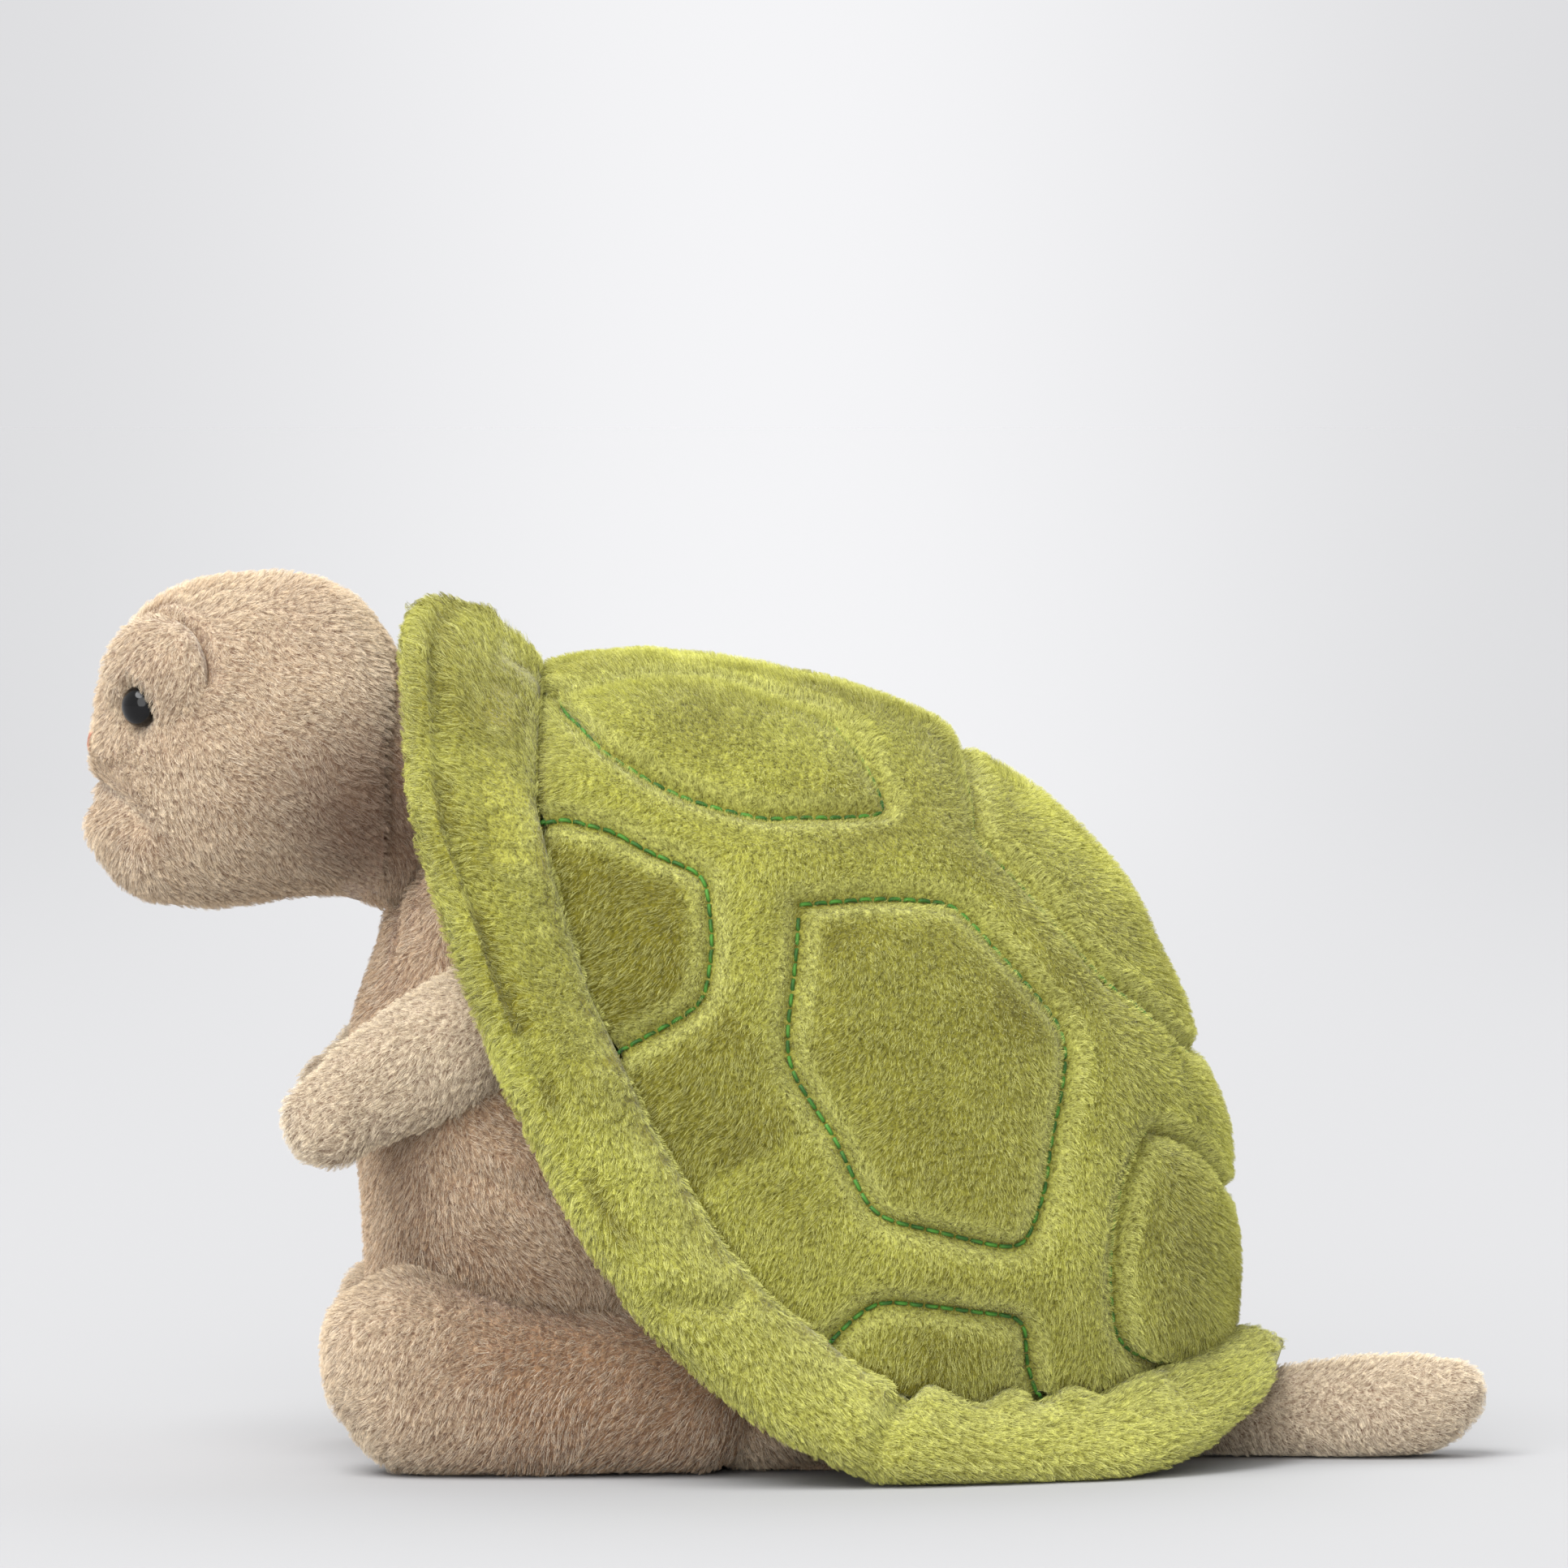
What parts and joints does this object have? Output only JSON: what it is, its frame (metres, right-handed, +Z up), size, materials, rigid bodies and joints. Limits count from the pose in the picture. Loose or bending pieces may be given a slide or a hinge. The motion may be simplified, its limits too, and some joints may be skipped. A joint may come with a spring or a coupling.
{
  "type": "plush turtle",
  "caption": "Stuffed toy turtle sitting upright under a quilted shell with a padded rim, with soft head, arms, legs and tail that bend at their seams.",
  "frame": {"origin": "on the floor, below the middle of the toy's bounding box", "axes": "the turtle faces -Y, +Z is up, and its own left side is +X; it is symmetric in X"},
  "size_m": [0.1938, 0.3451, 0.2186],
  "materials": {
    "beige_plush": "matte",
    "green_plush": "matte",
    "green_lining": "matte",
    "pouch_cloth": "matte",
    "black_eye": "gloss",
    "white_washer": "satin"
  },
  "bodies": {
    "shell_and_torso": {"torso": "beige_plush", "seat_panel": "beige_plush", "bean_pouch": "pouch_cloth", "shell_lining": "green_lining", "shell_dome": "green_plush", "shell_rim": "green_plush"},
    "neck": {"neck": "beige_plush"},
    "head": {"head": "beige_plush", "left_eyelid": "beige_plush", "right_eyelid": "beige_plush", "left_eye": "black_eye", "right_eye": "black_eye", "left_eye_washer": "white_washer", "right_eye_washer": "white_washer"},
    "left_arm": {"left_arm": "beige_plush"},
    "right_arm": {"right_arm": "beige_plush"},
    "left_leg": {"left_leg": "beige_plush", "left_sole": "beige_plush"},
    "right_leg": {"right_leg": "beige_plush", "right_sole": "beige_plush"},
    "tail": {"tail": "beige_plush"}
  },
  "joints": [
    {"name": "head_turn", "type": "hinge", "parent": "shell_and_torso", "child": "neck", "pos_m": [0, -0.095, 0.168], "axis": [0, 0, 1], "range_deg": [-20, 20], "stiffness_Nm_per_rad": 0.15},
    {"name": "head_nod", "type": "hinge", "parent": "neck", "child": "head", "pos_m": [0, -0.095, 0.168], "axis": [-1, 0, 0], "range_deg": [-12, 8], "stiffness_Nm_per_rad": 0.4},
    {"name": "left_arm_swing", "type": "hinge", "parent": "shell_and_torso", "child": "left_arm", "pos_m": [0.054, -0.067, 0.113], "axis": [-1, 0, 0], "range_deg": [-20, 50], "stiffness_Nm_per_rad": 0.04},
    {"name": "right_arm_swing", "type": "hinge", "parent": "shell_and_torso", "child": "right_arm", "pos_m": [-0.054, -0.067, 0.113], "axis": [-1, 0, 0], "range_deg": [-20, 50], "stiffness_Nm_per_rad": 0.04},
    {"name": "left_leg_splay", "type": "hinge", "parent": "shell_and_torso", "child": "left_leg", "pos_m": [0.047, -0.022, 0.0208], "axis": [0, 0, 1], "range_deg": [-4, 28], "stiffness_Nm_per_rad": 0.08},
    {"name": "right_leg_splay", "type": "hinge", "parent": "shell_and_torso", "child": "right_leg", "pos_m": [-0.047, -0.022, 0.0208], "axis": [0, 0, -1], "range_deg": [-4, 28], "stiffness_Nm_per_rad": 0.08},
    {"name": "tail_wag", "type": "hinge", "parent": "shell_and_torso", "child": "tail", "pos_m": [0, 0.107, 0.0105], "axis": [0, 0, 1], "range_deg": [-18, 18], "stiffness_Nm_per_rad": 0.04}
  ]
}
